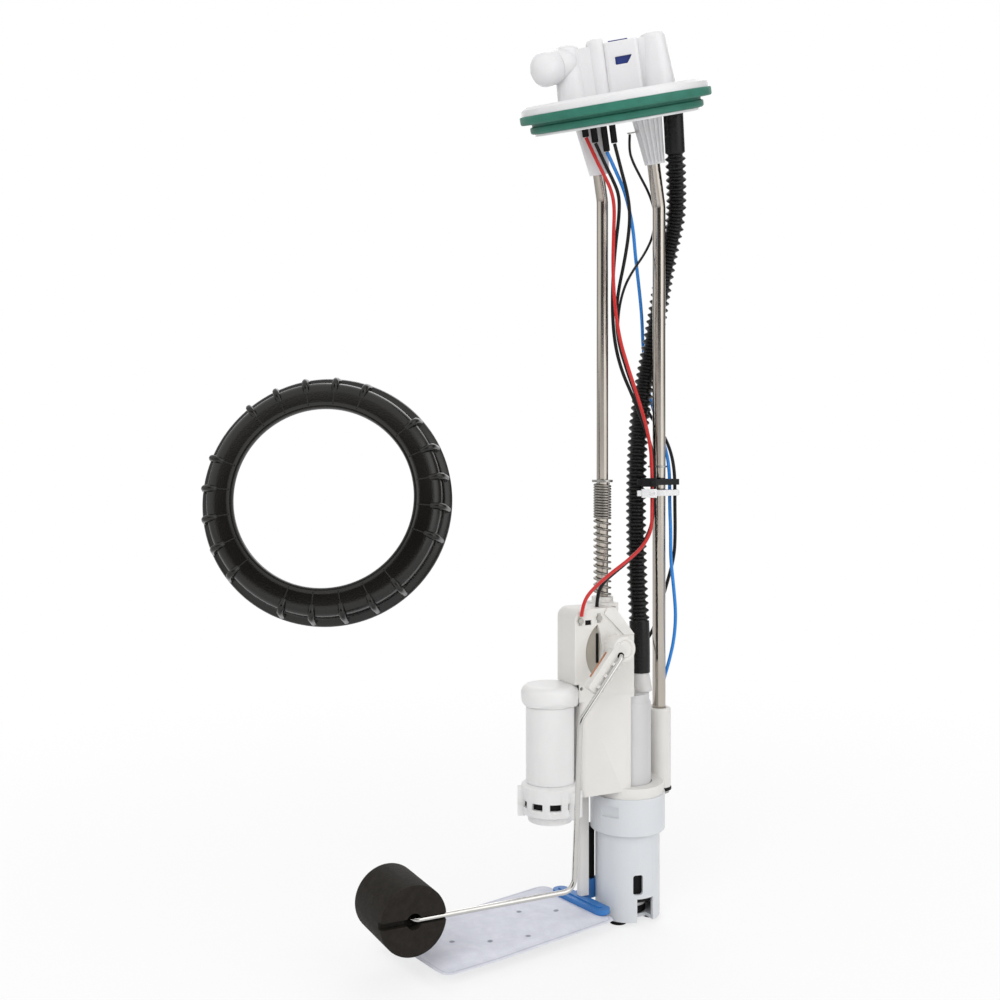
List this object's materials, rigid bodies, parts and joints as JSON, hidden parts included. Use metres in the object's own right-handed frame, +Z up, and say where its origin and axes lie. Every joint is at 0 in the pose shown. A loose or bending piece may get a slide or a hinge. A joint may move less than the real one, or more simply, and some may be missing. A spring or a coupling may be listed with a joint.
{
  "type": "fuel pump module",
  "caption": "Hanging in-tank fuel pump module: sealed flange head, guide rods with spring, sliding pump carrier with strainer, level sender with float, hose and leads, and a lock ring.",
  "frame": {"origin": "middle of the head's neck at the top of the gasket's neck wall, where the head seats on the tank", "axes": "+Z up along the straight guide rods, +X along the sender's front to the right, +Y to its back"},
  "size_m": [0.2874, 0.1494, 0.5266],
  "materials": {
    "head_white": "satin",
    "white_plastic": "satin",
    "sender_white": "satin",
    "filter_white": "satin",
    "gasket_green": "matt",
    "black_rubber": "matt",
    "black_plastic": "satin",
    "ring_black": "gloss",
    "blue_plastic": "satin",
    "steel": "satin",
    "spring_steel": "satin",
    "copper": "satin",
    "contact_metal": "satin",
    "pump_metal": "satin",
    "neck_plastic": "satin",
    "card_ceramic": "matt",
    "red_sleeve": "satin",
    "blue_sleeve": "satin",
    "float_black": "matt",
    "strainer_felt": "matt"
  },
  "bodies": {
    "flange": {"flange_head": "head_white", "plug_shell": "head_white", "head_nipple": "head_white", "flange_gasket": "gasket_green", "connector_terminals": "contact_metal", "connector_lock": "blue_plastic", "earth_tab": "steel", "earth_clip": "steel", "guide_rod_left": "steel", "guide_rod_right": "steel", "left_rod_clip": "steel", "right_rod_clip": "steel", "return_spring": "spring_steel", "wire_boots": "black_rubber", "cable_tie_black": "black_plastic", "cable_tie_white": "white_plastic", "fuel_hose": "black_plastic", "wire_red": "red_sleeve", "wire_black_sender": "black_plastic", "wire_blue": "blue_sleeve", "wire_black_pump": "black_plastic", "wire_earth": "black_plastic"},
    "port_cap": {"port_cap": "head_white"},
    "carrier": {"carrier_body": "white_plastic", "guide_sleeve": "white_plastic", "sleeve_bumper": "black_rubber", "sender_housing": "sender_white", "resistor_card": "card_ceramic", "contact_strip": "black_plastic", "sender_terminals": "contact_metal", "sender_cover": "sender_white", "pump_motor": "pump_metal", "pump_neck": "neck_plastic", "pump_terminals": "contact_metal", "pump_damper": "black_rubber", "pump_cup": "white_plastic", "cup_collar": "white_plastic", "cup_feet": "black_rubber", "suction_tube": "black_plastic", "strainer_frame": "blue_plastic", "strainer_sock": "strainer_felt", "filter_cap": "filter_white", "filter_canister": "filter_white", "filter_base": "filter_white", "filter_seal": "black_rubber", "pivot_pin": "steel"},
    "float_arm": {"pivot_hub": "white_plastic", "wiper_contact": "copper", "float_rod": "steel", "float": "float_black"},
    "lock_ring": {"lock_ring": "ring_black"}
  },
  "joints": [
    {"name": "carrier_slide", "type": "slide", "parent": "flange", "child": "carrier", "axis": [0, 0, 1], "range_m": [0, 0.03], "stiffness_N_per_m": 1500, "springref_m": -0.005, "deforming": ["return_spring", "fuel_hose", "wire_red", "wire_black_sender", "wire_blue", "wire_black_pump"]},
    {"name": "float_swing", "type": "hinge", "parent": "carrier", "child": "float_arm", "pos_m": [-0.0131, -0.0255, -0.3147], "axis": [0, 1, 0], "range_deg": [0, 75]},
    {"name": "lock_ring_turn", "type": "hinge", "parent": "flange", "child": "lock_ring", "pos_m": [-0.1596, 0.0577, -0.2308], "axis": [-0.4471, -0.8775, 0.1736], "continuous": true},
    {"name": "port_cap_pull", "type": "slide", "parent": "flange", "child": "port_cap", "axis": [-0.9262, 0.0145, -0.3768], "range_m": [0, 0.03]}
  ]
}
